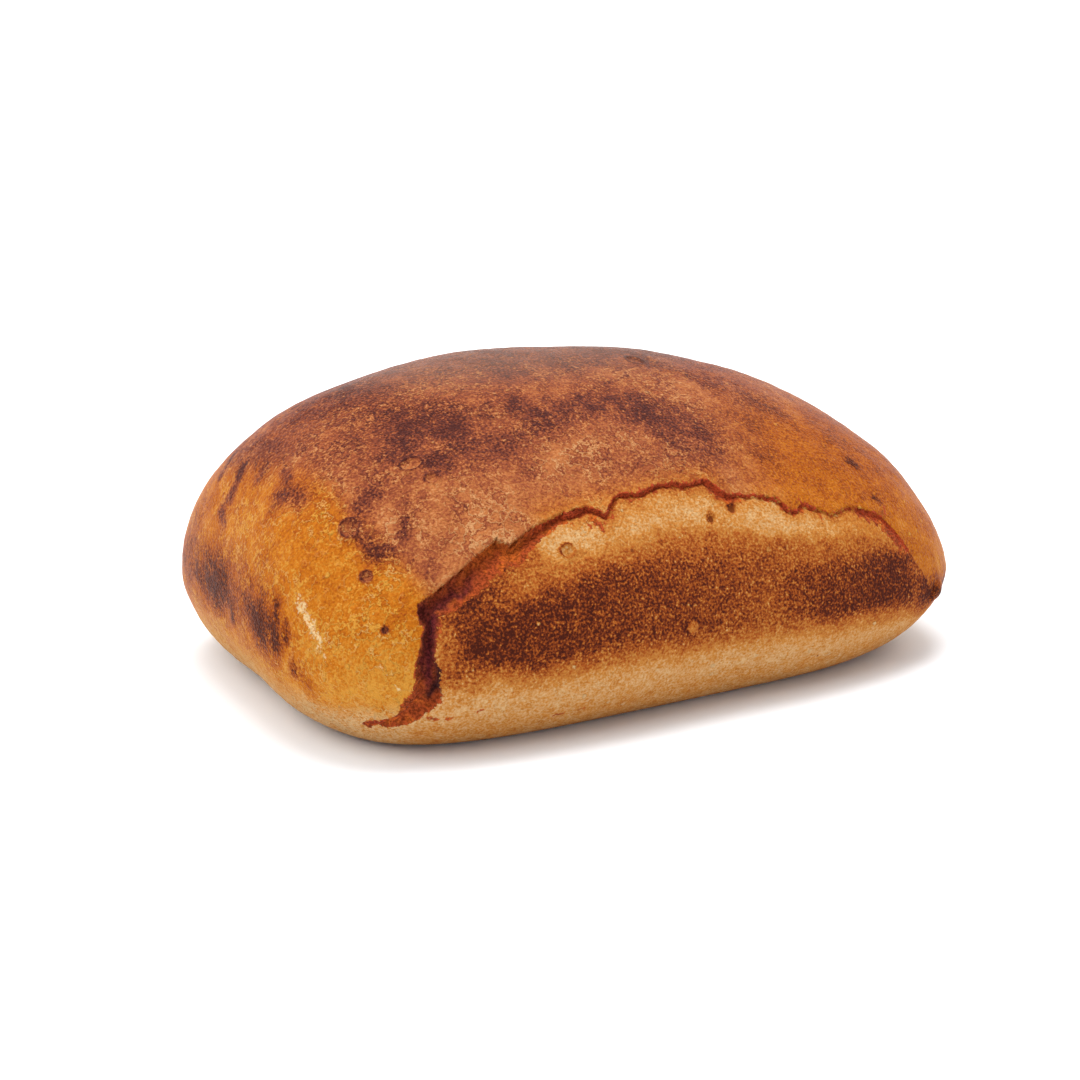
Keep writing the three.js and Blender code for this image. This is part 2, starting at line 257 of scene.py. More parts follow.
def on_side(pairs, facing):
    """Points of a long side, NEAR or FAR, from pairs of x and z."""
    return through_skin(
        [(x, 0, z) for x, z in pairs], [(x, facing * WIDTH, z) for x, z in pairs]
    )


def on_near_side(x, z):
    """The point of the near side at x and z."""
    return on_side([(x, z)], NEAR)[0]


def on_dome(x, y):
    """The point of the dome at x and y."""
    return through_skin([(x, y, BELLY)], [(x, y, 2 * HEIGHT)])[0]


# middle, radius, how flat the outline is, height of the middle and the rim, change of browning
Bubble = namedtuple("Bubble", "middle radius flatness height rim browning")
BUBBLES = [
    Bubble(on_dome(-64.5, -34.8), 3.4, 0.62, -0.4, 0.3, -0.3),
    Bubble(on_dome(-61.5, -40.5), 2.3, 0.8, -0.4, 0.3, -0.12),
    Bubble(on_dome(-82.5, -39.5), 2.5, 1, -0.5, 0.3, 0.02),
    Bubble(on_dome(14.5, -9.8), 2.8, 1, -0.6, 0.2, -0.1),
    Bubble(on_near_side(-83, 44.5), 1.5, 1, -0.4, 0.2, 0.14),
    Bubble(on_near_side(-82, 33.4), 0.8, 1, -0.4, 0.1, 0.4),
    Bubble(on_near_side(5.6, 48.9), 1.2, 1, -0.6, 0, 0.06),
    Bubble(on_near_side(12.4, 50.3), 1.2, 1, -0.6, 0, 0.06),
    Bubble(on_near_side(-36.2, 47), 1.9, 1, -0.4, 0.3, 0),
    Bubble(on_near_side(-5.6, 25.1), 2, 1, 0.6, 0, -0.3),
]
NUB = Bubble(on_near_side(79.5, 18.6), 3.4, 1, 1.3, 0, 0)

# pores, with their radius
PORES = [
    (on_near_side(-19.5, 44.9), 0.5),
    (on_near_side(35.9, 9.7), 0.5),
    (on_near_side(31.9, 51.8), 0.6),
    (on_near_side(38.3, 43.8), 0.6),
    (on_near_side(5.6, 48.9), 0.8),
    (on_near_side(12.4, 50.3), 1),
]

# scratches and small torn marks, from start to end, with half their width
SCRATCHES = [
    ((-96.3, -38.5, 38.5), (-94, -47, 29.5), 1.7),
    ((-94.4, -46.5, 29), (-89.7, -50.4, 12.6), 0.45),
    ((-93.6, -48.6, 27), (-91, -51, 17), 0.5),
    ((-84, -58.5, 25.8), (-80.5, -61.1, 19.9), 0.4),
]
TORN_MARKS = [
    ((-74.6, -61, 12.6), (-71.5, -62, 11.2), 0.5),
    ((-69.3, -62.7, 11.2), (-67.9, -63, 11.4), 0.45),
    ((-62.5, -64.6, 12.3), (-61, -65, 12.4), 0.35),
    ((-52.5, -65, 9), (-50, -65.3, 9.2), 0.3),
    ((-41.5, -64, 7.2), (-39, -64.3, 7.4), 0.4),
    ((-35, -64.5, 7.7), (-33.2, -64.8, 8), 0.3),
    ((-81.5, -56.5, 11), (-85.5, -52.5, 9.3), 0.9),
    ((-26.6, -57.8, 52.4), (-25.6, -60, 49.6), 0.5),
    ((-29, -58, 52), (-28.4, -59, 50.6), 0.35),
    ((14.6, -57, 53), (15.4, -58.4, 51), 0.5),
    ((33.4, -58.8, 49.6), (33.8, -59.4, 48.6), 0.5),
    ((38.4, -60.9, 45.4), (38.7, -61.8, 43.2), 0.35),
    ((57.8, -59, 43), (61.2, -61.7, 37.6), 0.7),
    ((61.2, -61.7, 37.6), (64.6, -63, 33.6), 0.8),
    ((62.2, -58.5, 42), (63, -57.4, 43.6), 0.45),
]


def from_bubble(bubble, places):
    """Distances from a bubble's middle, as shares of its radius."""
    stretch = (1, 1 / bubble.flatness, 1 / bubble.flatness)
    return np.linalg.norm((places - bubble.middle) * stretch, axis=1) / bubble.radius


def to_line(places, start, end):
    """Distances from places to the line from start to end."""
    start, end = np.array(start, float), np.array(end, float)
    run = end - start
    share = np.clip((places - start) @ run / max(run @ run, TINY), 0, 1)
    return np.linalg.norm(places - start - np.outer(share, run), axis=1)


def nearest_of_tear(edge, shape, facing, places):
    """For each place: how far above the tear's edge it is, the direction of the overhang, and the
    tear's width, depth and lip there."""
    points = on_side(edge, facing)
    order = np.argsort(shape["x"])
    at_points = {
        name: np.interp(points[:, 0], np.array(shape["x"])[order], np.array(shape[name])[order])
        for name in ("width", "depth", "lip", "wall", "floor")
    }
    best = {name: np.zeros(len(places)) for name in ("above", *at_points)}
    best["distance"] = np.full(len(places), np.inf)
    best["upward"] = np.zeros((len(places), 3))
    for i in range(len(points) - 1):
        run = points[i + 1] - points[i]
        share = np.clip((places - points[i]) @ run / (run @ run), 0, 1)
        offset = places - points[i] - np.outer(share, run)
        distance = np.linalg.norm(offset, axis=1)
        upward = np.cross(np.stack([0 * share, places[:, 1], 0 * share], 1), run)
        upward /= np.linalg.norm(upward, axis=1)[:, None] + TINY
        nearer = distance < best["distance"]
        side = np.where((offset * upward).sum(1) >= 0, distance, -distance)
        best["above"][nearer] = side[nearer]
        best["distance"][nearer] = distance[nearer]
        best["upward"][nearer] = upward[nearer]
        for name, values in at_points.items():
            best[name][nearer] = lerp(values[i], values[i + 1], share)[nearer]
    return best


def all_tears(places):
    """The near side's tear, then the far side's."""
    return [
        nearest_of_tear(LONG_TEAR_EDGE, LONG_TEAR_SHAPE, NEAR, places),
        nearest_of_tear(FAR_TEAR_EDGE, FAR_TEAR_SHAPE, FAR, places),
    ]


# Loaf, its mesh: a cube is cut into cells, then finer everywhere but underneath, and finer again
# along the tears and round the bubbles. Each point of it then goes to its place on the skin.
FINE_CUTS = 6
TEAR_ZONES = (5, 2.2)
BUBBLE_ZONE = 1.7
LINE_ZONE = 2
LINE_MARGIN = 0.5
PORE_ZONE = 2.2

bpy.ops.object.select_all(action="DESELECT")
bpy.ops.mesh.primitive_cube_add(size=2)
loaf = bpy.context.object
loaf.name = "milk_loaf"
bpy.ops.object.mode_set(mode="EDIT")
bpy.ops.mesh.select_mode(type="EDGE")
for axis, cells in enumerate(CELLS):
    bpy.ops.mesh.select_all(action="DESELECT")
    edit = bmesh.from_edit_mesh(loaf.data)
    for edge in edit.edges:
        edge.select = abs(edge.verts[0].co[axis] - edge.verts[1].co[axis]) > SAME
    bmesh.update_edit_mesh(loaf.data)
    bpy.ops.mesh.subdivide(number_cuts=cells - 1)
bpy.ops.mesh.select_mode(type="FACE")


def cut_faces(is_wanted, cuts):
    """Subdivides the faces of the cube for whose middles is_wanted is true."""
    edit = bmesh.from_edit_mesh(loaf.data)
    middles = np.array([face.calc_center_median() for face in edit.faces])
    for face, wanted in zip(edit.faces, is_wanted(middles)):
        face.select = bool(wanted)
    bmesh.update_edit_mesh(loaf.data)
    bpy.ops.mesh.subdivide(number_cuts=cuts)


def off_underside(cube):
    """Which points of the cube are above its lower face."""
    return cube[:, 2] > -1 + SAME


def near_marks(cube, tear_zone):
    """Which points of the cube end up close to a tear, a bubble or a small mark."""
    places = skin_of_cube(cube)
    near = np.zeros(len(places), bool)
    for tear in all_tears(places):
        near |= (tear["above"] < tear_zone) & (tear["above"] > -tear_zone - tear["width"])
    for bubble in [*BUBBLES, NUB]:
        near |= from_bubble(bubble, places) < BUBBLE_ZONE
    for start, end, radius in SCRATCHES + TORN_MARKS:
        near |= to_line(places, start, end) < LINE_ZONE * radius + LINE_MARGIN
    for place, radius in PORES:
        near |= np.linalg.norm(places - place, axis=1) < PORE_ZONE * radius
    return near & off_underside(cube)


cut_faces(off_underside, FINE_CUTS)
for tear_zone in TEAR_ZONES:
    cut_faces(lambda cube: near_marks(cube, tear_zone), 1)
bpy.ops.object.mode_set(mode="OBJECT")


def get_points(name, width=3):
    values = np.empty(len(loaf.data.vertices) * width)
    loaf.data.vertices.foreach_get(name, values)
    return values.reshape(-1, width)


def put_points(places):
    loaf.data.vertices.foreach_set("co", places.ravel())
    loaf.data.update()


skin = skin_of_cube(get_points("co"))
put_points(skin)
outward = get_points("normal")

# Loaf, its relief: the slow unevenness of shaped dough, the tears, the bubbles, and the small
# lumps and pimples of the crust. Nothing moves where the loaf stands on its underside.
UNEVEN = 0.35
UNEVEN_WAVES = (61, 43, 34)
RAGGED = 0.7
FINE_JAG = 2
WIDE_JAG = 8
WIDE_JAG_SHARE = 1.6
SHALLOW = 0.05
LIP_REACH = 5
TEAR_REACH = 14
OVERHANG = 0.7
OVERHANG_REACH = 1.5
RIM_WIDTH = 0.25
LUMP_SIZE = 7
LUMP_HEIGHT = 0.16
PIMPLE_SIZE = 2.2
PIMPLE_HEIGHT = 0.07
SEED = Vector((17.3, 5.1, 9.7))


def smooth(value, low, high):
    """Rises softly from 0 at low to 1 at high."""
    share = np.clip((value - low) / (high - low), 0, 1)
    return share * share * (3 - 2 * share)


def fall(value, low, high):
    """Falls softly from 1 at low to 0 at high."""
    return smooth(-value, -high, -low)


def hump(distance, width):
    """Is 1 where the distance is 0, and fades out over about the width."""
    return np.exp(-((distance / width) ** 2))


def noise_at(places, size, depth=1, shift=0):
    """Smooth noise from -1 to 1 whose lumps are about size mm wide."""
    scale = 1 / size
    start = SEED * (1 + shift)
    total = np.zeros(len(places))
    for octave in range(depth):
        step = scale * 2**octave
        values = [noise.noise(Vector(place) * step + start * (1 + octave)) for place in places]
        total += np.array(values) * 0.5**octave
    return total


def uneven_at(places):
    """Slow waves over the whole loaf, in mm outwards."""
    x, y, z = places.T
    first, second, third = (2 * math.pi / wave for wave in UNEVEN_WAVES)
    long_waves = np.sin(first * x + 1.1) * np.cos(second * y + 0.4)
    short_waves = 0.5 * np.sin(third * (z + 0.6 * y) + 2.3) * np.cos(second * x)
    return UNEVEN * (long_waves + short_waves)


fine_jag, wide_jag = noise_at(skin, FINE_JAG, 2, shift=1), noise_at(skin, WIDE_JAG, 2, shift=8)
jag = RAGGED * (fine_jag + WIDE_JAG_SHARE * wide_jag)
relief = uneven_at(skin)
shift_up = np.zeros_like(skin)
tears = all_tears(skin)
for tear in tears:
    live = (tear["distance"] < TEAR_REACH) & (tear["depth"] > SHALLOW)
    above = tear["above"] + jag * smooth(tear["depth"], 0, 0.6)
    tear["above"] = above
    lip, depth, wall = tear["lip"], tear["depth"], tear["wall"]
    # the lip over the edge, the wall under it, and the strip that slopes back to the side
    cap_side = lip * hump(above, LIP_REACH)
    drop = lerp(lip, -depth, smooth(-above, 0, wall))
    strip_width = np.maximum(tear["width"], 2 * wall)
    rise_share = (-above - wall) / (strip_width - wall)
    strip = -depth * (1 - smooth((rise_share - tear["floor"]) / (1 - tear["floor"]), 0, 1))
    below = np.where(-above < wall, drop, strip)
    relief += np.where(live, np.where(above >= 0, cap_side, below), 0)
    hang = np.where(above >= 0, -np.exp(-above / OVERHANG_REACH), 0) * OVERHANG * np.clip(lip, 0, 1)
    shift_up += tear["upward"] * np.where(live, hang, 0)[:, None]
for bubble in [*BUBBLES, NUB]:
    away = from_bubble(bubble, skin)
    middle = fall(away, 0.7, 1) if bubble.height < 0 else np.clip(1 - away**2, 0, None)
    relief += bubble.height * middle
    relief += bubble.rim * hump(away - 1, RIM_WIDTH)
lumps = LUMP_HEIGHT * noise_at(skin, LUMP_SIZE, 2, shift=2)
pimples = PIMPLE_HEIGHT * noise_at(skin, PIMPLE_SIZE, 2, shift=3)
relief += lumps + pimples
relief *= smooth(skin[:, 2], 0, BELLY / 4)
put_points(skin + outward * relief[:, None] + shift_up)

# Loaf, its browning: from 0, pale, to 1, nearly burnt. The crust is browner where it was nearest
# the oven's heat: in a band round the sides, in clouds on the dome and in a patch on the left end.
BAND = {
    "x": (-72, -67, -63, -51, -41, -30, -7, 17, 30, 42, 56, 64, 69, 88),
    "low": (25, 25, 24, 22, 22.5, 22.5, 21.7, 21, 21, 20, 19.3, 18.4, 17.8, 15),
    "high": (32, 34, 35.5, 36.5, 39.7, 41.8, 42.4, 39.2, 36, 34.6, 33.6, 31, 29, 22),
    "bake": (0.26, 0.3, 0.86, 0.86, 0.82, 0.76, 0.7, 0.56, 0.72, 0.8, 0.9, 0.9, 0.6, 0.56),
}
FAR_BAND = {
    "x": (-84, -64, -30, 10, 50, 80),
    "low": (21, 20, 21, 20, 19, 19),
    "high": (27, 34, 37, 36, 35, 28),
    "bake": (0.36, 0.66, 0.8, 0.64, 0.78, 0.4),
}
BAND_FADE = 4
BAND_PALE = 0.11
BAND_UNDER = 8
BAND_OVER = (2, 6)
PALE_OVER = (2, 8)
PALE_START = (-50, -36)
# where the panels, the near half and the foot begin and end, along, across or up the loaf
MIDDLE = (-10, 10)
PANEL_LEFT = (-79, -74)
PANEL_RIGHT = (72, 84)
PANEL_NEAR = (25, 45)
FAR_PANEL_TOP = (42, 58)
FAR_PANEL_ENDS = (62, 88)
FOOT_TOP = (10, 17)
UNDERSIDE_BAKE = 0.42
# the patterns that break up the browning, and the outlines of bubbles and smudges
WANDER_SIZE = 22
FLECK_SIZE = 6
RAG_SIZE = 3.2
STREAK_SIZE = 1.3
STREAK_STRETCH = (1, 1, 0.22)
OUTLINE_WIDTH = 0.36
CRISP_RADIUS = 2.2
WIDE_RADIUS = 7.5
WIDE_BREAK = 0.35
ROSY_CORNER = ((-72, -38, 60), (-71, -48, 54), 7)
GLOW = ((-38, -56, 54), (8, -54, 57), 5)

# smudges of deeper or paler browning, from start to end, with their radius and amount
SMUDGES = [
    # dark clouds on the near half of the dome, from the left end to the right
    ((-61, -27, 70.5), (-52, -30, 70), 9, 0.22),
    ((-64, -12, 74), (-50, -24, 75), 10, 0.16),
    ((-36, -26, 76), (-27, -32, 73), 5, 0.16),
    ((-28, -35, 71), (-24, -35, 71), 5, 0.2),
    ((-63, -31, 69), (-57, -38, 65), 7, 0.16),
    ((-42, -38, 68), (-38, -37, 69), 5, 0.08),
    ((-43, -39, 67), (-41, -39, 67), 2.6, 0.14),
    ((-13, -29, 75), (2, -31, 73), 6, 0.22),
    ((2, -35, 71), (12, -44, 65), 7, 0.22),
    ((31, -41, 65), (31, -47, 61), 5, 0.2),
    ((27, -18, 76), (45, -34, 66), 7, 0.14),
    ((-30, -24, 77), (-24, -30, 74), 6, 0.12),
    ((59, -47, 54), (60, -48, 53), 1.5, 0.4),
    ((60.5, -56, 46), (61.5, -56.5, 44.6), 1, 0.5),
    ((36, -54, 57), (36.4, -54.6, 56), 0.9, 0.4),
    ((36.4, -55.6, 54.6), (36, -57.4, 51.6), 0.7, 0.4),
    # the brown shoulder that the left end darkens to, and its orange and rosy parts
    ((-86, 9, 62.5), (-68, 6, 74), 12, 0.19),
    ((-60, 4, 78), (30, 0, 80), 14, 0.18),
    ((-80, -8, 66), (-66, -18, 71), 9, 0.05),
    ((-70, -6, 73), (-49, -14, 77), 5, -0.14),
    ((-20, -21, 78), (-17, -28, 75), 5, -0.06),
    ((-80, -4, 67), (-76, -14, 68), 6, -0.06),
    ((-30, -42, 67), (-5, -43, 66), 6, -0.16),
    ((-60, -48, 57), (-46, -50, 58), 8, -0.12),
    # brown patch of the left end, with its dark flecks
    ((-99.8, 34, 28), (-100, 6, 29), 9, 0.46),
    ((-100, 4, 31), (-99.4, -26, 28), 9, 0.44),
    ((-99, -24, 28), (-95.5, -43, 20), 6, 0.36),
    ((-97, 22, 48), (-99.8, 26, 40), 6, 0.14),
    ((-98.4, -32.6, 35), (-98.8, -32.6, 32), 1.3, 0.45),
    ((-98, -36.6, 31.5), (-98.3, -37, 28), 1.3, 0.45),
    ((-99.2, -32.6, 28.5), (-99.3, -33.5, 24.5), 1.3, 0.45),
    ((-100.7, -7, 28), (-100.7, -8, 24), 1.2, 0.45),
    ((-97.8, -39, 22.5), (-97.6, -39.5, 20), 1.2, 0.4),
    # corner beside the tear, and the panel's tan and pale spots
    ((-90, -45, 30), (-80, -56, 27), 6, -0.1),
    ((-97, -38, 18), (-93, -47, 16), 5, -0.1),
    ((-73, -56, 42), (-69, -56, 46), 3, 0.14),
    ((-64, -48, 58), (-58, -56, 48), 5, -0.06),
    ((-76, -60, 26), (-74, -59, 38), 3, 0.08),
    ((-68, -65, 20), (-62, -65, 20), 4, 0.14),
    ((-68.5, -63.5, 31), (-67, -65, 24), 3, 0.14),
    ((-65, -64, 30), (-63, -62, 39), 3.5, 0.24),
    ((-60, -61, 42), (-46, -60, 49), 3, 0.08),
    ((-57, -61, 43), (-46, -61, 46), 5, 0.06),
    ((-36, -60, 48), (-33, -59, 50.5), 4, -0.06),
    ((-29, -62, 46), (-28, -60, 49), 3, -0.04),
    # band's last stretch at the right corner, out to the scorched nub
    ((75, -62, 20), (84, -59, 18), 4.5, 0.7),
    ((20, -57.5, 53), (38, -57.5, 52), 3, -0.1),
]

# smudges that also turn the golden skin purple
PURPLE_SMUDGES = [
    # ring and blob on the left shoulder
    ((-79, -36.5, 57.5), (-76, -36, 59.5), 3.2, 0.3),
    ((-81, -40, 54), (-79.5, -47, 49), 2.4, 0.34),
    ((-77, -48, 49.5), (-73, -48, 52), 2.4, 0.3),
    ((-72, -47, 53.3), (-69.5, -42, 58), 2.3, 0.3),
    ((-60.5, -49, 56.5), (-58, -49, 57), 2.6, 0.2),
    ((-58.5, -38.5, 66), (-56, -37, 67.5), 3, 0.22),
    ((-66.5, -43, 59.5), (-65, -46, 57), 2.3, 0.18),
    ((-75, -43.6, 54.6), (-75, -43.6, 54.6), 2.2, -0.2),
    ((-90, -16, 57), (-88, -23, 57), 3.6, 0.42),
    # drop-shaped marks of the left end
    ((-90, 8.8, 58.3), (-95, 5.7, 51.3), 1.6, 0.42),
    ((-88, 21.5, 58.5), (-92.5, 18.5, 53.6), 1.5, 0.38),
    ((-94, 8, 53), (-97, 7.5, 47), 1.2, 0.38),
    ((-97, 9, 48), (-97.7, 4, 45.5), 1.4, 0.34),
    ((-88.6, -1, 60), (-90.7, -1.5, 57.6), 1.7, 0.42),
    ((-86.6, -10, 61.4), (-87, -14, 60.5), 1.7, 0.42),
]


def smudge_fade(start, end, radius):
    """How strong a smudge is: soft where it is wide, and crisp where it is small."""
    away = to_line(skin, start, end) / radius
    return np.exp(-1.2 * away**2) if radius > CRISP_RADIUS else np.exp(-(away**4))


def smudge_break(radius):
    """How a smudge is broken up into flecks, a wide one less than a small one."""
    amount = WIDE_BREAK if radius > WIDE_RADIUS else 1
    return np.clip(1 + amount * (0.7 * ragged + 0.5 * flecks), 0, 2)


x, y, z = skin.T
wander = noise_at(skin, WANDER_SIZE, 3, shift=4)
flecks = noise_at(skin, FLECK_SIZE, 3, shift=5)
ragged = noise_at(skin, RAG_SIZE, 3, shift=6)
streaks = noise_at(skin * STREAK_STRETCH, STREAK_SIZE, 2, shift=7)
# how far each point is over or under the near tear's edge, in mm
over_tear, under_tear = tears[0]["above"], -tears[0]["above"]
near_side = smooth(-y, *MIDDLE)

# the panel: the long side under the tear, and one like it with softer edges on the far side
near_panel = smooth(under_tear, -0.3, 0.5) * smooth(x, *PANEL_LEFT) * smooth(-y, *PANEL_NEAR)
far_panel = smooth(outward[:, 1], 0.3, 0.95) * fall(z + 6 * wander, *FAR_PANEL_TOP)
far_panel *= fall(np.abs(x) + 5 * flecks, *FAR_PANEL_ENDS)
panel = np.clip(near_panel + far_panel, 0, 1)
panel *= fall(x + 2.5 * flecks, *PANEL_RIGHT)

# it is palest under the tear, then golden, then brown in the band, and pale again below
band_low, band_high, band_bake = (
    lerp(np.interp(x, FAR_BAND["x"], FAR_BAND[name]), np.interp(x, BAND["x"], BAND[name]), near_side)
    for name in ("low", "high", "bake")
)
band_drift = 1.6 * flecks + (3.5 - 2 * near_side) * wander
band_low += band_drift
band_high += band_drift
band = smooth(z, band_low - 0.5 * BAND_FADE, band_low + 0.7 * BAND_FADE)
band *= fall(z, band_high - 0.6 * BAND_FADE, band_high + 0.6 * BAND_FADE)
over_band = smooth(z, band_high + BAND_OVER[0], band_high + BAND_OVER[1])
panel_bake = BAND_PALE + 0.34 * smooth(z, band_low - BAND_UNDER, band_low)
pale_zone = near_side * smooth(z, band_high + PALE_OVER[0], band_high + PALE_OVER[1])
pale_zone *= smooth(x + 8 * flecks, *PALE_START)
panel_bake -= 0.06 * over_band + 0.28 * pale_zone
panel_bake += 0.08 * fall(z, 7, 12) + 0.04 * flecks
panel_bake += near_side * (0.22 * fall(x, -60, -48) * smooth(z, 32, 40))
band_bake += 0.08 * flecks + 0.05 * ragged + 0.2 * wander * (1 - near_side)
panel_bake = lerp(panel_bake, band_bake, band)

# browned streaks hang from the tear, and the side is browner close under it
hanging = smooth(streaks - 0.2 * under_tear, -0.3, 0.3) * fall(under_tear, 0.5, 4.5)
panel_bake += 0.34 * near_side * hanging
panel_bake += near_side * (0.14 * smooth(x, 20, 60) * smooth(z, 36, 40))
panel_bake += 0.2 * hump(under_tear, 2.2)
panel_bake += 0.2 * smooth(x, -42, -30) * fall(x, 10, 24) * hump(under_tear, 5)

# the skin over the tear is golden at both ends and rosy brown between them
left_edge = -x - 0.55 * (z - 44) + 4 * flecks * (1 - near_side)
left_golden = smooth((left_edge - 73) / (4 + 8 * (1 - near_side)), -1, 1)
left_golden *= fall(z + 0.15 * y, 55, 65)
left_golden *= 1 - 0.7 * hump(to_line(skin, *ROSY_CORNER[:2]), ROSY_CORNER[2])
right_golden = smooth(x + 0.5 * (56 - z) + 6 * flecks, 5, 40) * fall(z + 0.2 * x, 70, 82)
golden = np.clip(left_golden + right_golden, 0, 1)
# golden glow over the tear: partly golden skin, partly a painted highlight along the lip
golden = np.clip(golden + 0.6 * hump(to_line(skin, *GLOW[:2]), GLOW[2]), 0, 1)
rosy_bake = 0.35 + 0.15 * smooth(z, 48, 76) + 0.14 * wander + 0.14 * flecks + 0.05 * ragged
golden_bake = 0.24 + 0.12 * flecks + 0.05 * ragged + 0.06 * smooth(z, 44, 60)
golden_bake += (
    0.1 * smooth(x, -20, 20) + 0.12 * smooth(x, 46, 62) * smooth(z, 40, 50) - 0.18 * fall(z, 20, 36)
)
cap_bake = lerp(rosy_bake, golden_bake, golden)
# painted highlight: a paler rim on the lip just over the tear's edge
cap_bake -= 0.08 * (1 - right_golden) * hump(over_tear - 1.5, 1.5)
cap_bake = lerp(cap_bake, 0.1, fall(z + 3 * flecks, 10, 18))

# smudges and bubbles lie over both, and the underside is evenly brown
bake = lerp(cap_bake, panel_bake, panel)
for start, end, radius, amount in SMUDGES:
    bake += amount * smudge_fade(start, end, radius) * smudge_break(radius)
for start, end, radius, amount in PURPLE_SMUDGES:
    fade = smudge_fade(start, end, radius)
    bake += amount * fade * smudge_break(radius)
    golden *= 1 - 0.8 * fade
for bubble in BUBBLES:
    away = from_bubble(bubble, skin)
    # painted shade: each bubble's dark outline is darker on its upper-left side and lighter on its
    # lower right
    shaded_side = np.clip((skin - bubble.middle) @ (-0.6, 0, 0.8) / bubble.radius, -1, 1)
    outline = hump((away - 1) * bubble.radius, OUTLINE_WIDTH)
    bake += outline * (0.4 + 0.3 * shaded_side) + bubble.browning * fall(away, 0.8, 1)
    golden *= 1 - 0.9 * (fall(away, 1, 1.3) if bubble.browning > 0 else outline)
bake = lerp(bake, UNDERSIDE_BAKE + 0.14 * flecks, smooth(-outward[:, 2], 0.9, 0.97))
bake = np.clip(bake, 0, 1)
foot = fall(z + 2 * flecks, *FOOT_TOP)

# Loaf, its torn strips and small marks: the bared crumb under the lip baked red-brown, and it is
# dark purple where the strip is deepest. Shadow is painted under the lip and along the fissure's
# steep right wall. Flour left pale scratches on the left corner, and pores are dark inside.
STRIP = (139, 59, 27)
STRIP_LIGHT = (164, 78, 28)
STRIP_DEEP = (84, 30, 32)
# colour of the painted shadow in the torn strip
STRIP_SHADOW = (50, 22, 22)
LINE = (142, 53, 27)
WIDE_TEAR = 2.6
TORN_FADE = 3
DEEP_LINES = [
    ((-71.5, -61, 36), (-73.5, -63, 29), 1.6),
    ((-73.5, -63, 29), (-74.2, -64, 22.5), 1.7),
]
# points along the fissure's steep right wall, where shadow is painted
SHADOWED_WALL_EDGE = [(-72, -64.6, 25.4), (-71.6, -64.8, 22.4), (-72.5, -64.3, 19.6), (-73.9, -63.3, 17)]


def mix(first, second, share):
    return first + (second - first) * np.asarray(share)[:, None]


def linear(colour):
    """sRGB 0 to 255 as linear light."""
    share = np.array(colour, float) / 255
    return np.where(share > 0.04045, ((share + 0.055) / 1.055) ** 2.4, share / 12.92)


# how far each point is inside the torn colour, as 0.5 at the colour's edge
torn = np.zeros(len(skin))
for tear in tears:
    below, is_wide = -tear["above"], tear["width"] > WIDE_TEAR
    thick = 0.7 * hump(x + 28, 5) + 0.6 * hump(x - 10, 4)
    thick += (
        1.3 * smooth(x, 50, 56) * fall(x, 62, 67) - 0.3 * smooth(x, 16, 22) * fall(x, 42, 48)
    )
    thin = 0.3 + 0.3 * tear["width"] + thick + 4 * np.clip(streaks - 0.08, 0, 1)
    painted = np.where(is_wide, tear["width"], thin)
    from_top = below + np.where(is_wide, 0.3, 0.6)
    from_bottom = painted - below + 0.6 * ragged * is_wide
    inside = np.where(tear["depth"] > 0.08, np.minimum(from_top, from_bottom), -9)
    torn = np.maximum(torn, np.clip(0.5 + inside / TORN_FADE, 0, 1))
for start, end, radius in TORN_MARKS:
    inside = radius - to_line(skin, start, end)
    torn = np.maximum(torn, np.clip(0.5 + inside / TORN_FADE, 0, 1))

# the strip's colours: lighter flecks and ledge, a deep middle, and painted shadow along the
# fissure's steep right wall and in a dark line under the lip
strip_width = tears[0]["width"]
across = np.clip(under_tear / np.maximum(strip_width, 1), 0, 1)
wide = smooth(strip_width, 3, 4.2)
deep = 0.9 * hump(across - 0.45 + 0.4 * flecks, 0.24) * wide * fall(x, -64, -57)
deep *= smooth(z, 14, 22)
for start, end, radius in DEEP_LINES:
    deep = np.maximum(deep, hump(to_line(skin, start, end), radius))
ledge = hump(across - 0.12, 0.16) * wide * smooth(x - 4 * flecks, -66, -58)
torn_colour = np.tile(linear(STRIP), (len(skin), 1))
torn_colour = mix(torn_colour, linear(STRIP_LIGHT), smooth(ragged + 0.4 * flecks, 0, 0.5))
torn_colour = mix(torn_colour, linear(STRIP_LIGHT), 0.8 * ledge)
torn_colour = mix(torn_colour, linear(STRIP_DEEP), deep)
torn_colour = mix(torn_colour, linear(LINE), (1 - wide) * fall(under_tear, 0.6, 1.4))
# painted shadow where the fissure's right wall drops steeply
for start, end in zip(SHADOWED_WALL_EDGE, SHADOWED_WALL_EDGE[1:]):
    torn_colour = mix(torn_colour, linear(STRIP_SHADOW), hump(to_line(skin, start, end), 1))
# painted shadow in a thin line under the lip
lip_shadow = fall(np.abs(under_tear - 0.2), 0, 0.6)
torn_colour = mix(torn_colour, linear(STRIP_SHADOW), 0.12 * wide * lip_shadow)

flour = np.zeros(len(skin))
for start, end, radius in SCRATCHES:
    flour = np.maximum(flour, hump(to_line(skin, start, end), radius))
pit = np.zeros(len(skin))
for place, radius in PORES:
    away = (skin - place) * (1, 1, 0.7)
    pit = np.maximum(pit, fall(np.linalg.norm(away, axis=1) / radius, 0.5, 1.2))


def put_colour(name, colours):
    layer = loaf.data.color_attributes.new(name, "FLOAT_COLOR", "POINT")
    layer.data.foreach_set("color", np.c_[colours, np.ones(len(colours))].ravel())


def put_value(name, values):
    layer = loaf.data.attributes.new(name, "FLOAT", "POINT")
    layer.data.foreach_set("value", np.ascontiguousarray(values, dtype=np.float32))


put_colour("torn_colour", torn_colour)
put_value("torn", torn)
put_value("bake", bake)
put_value("golden", golden)
put_value("flour", flour)
put_value("pit", pit)
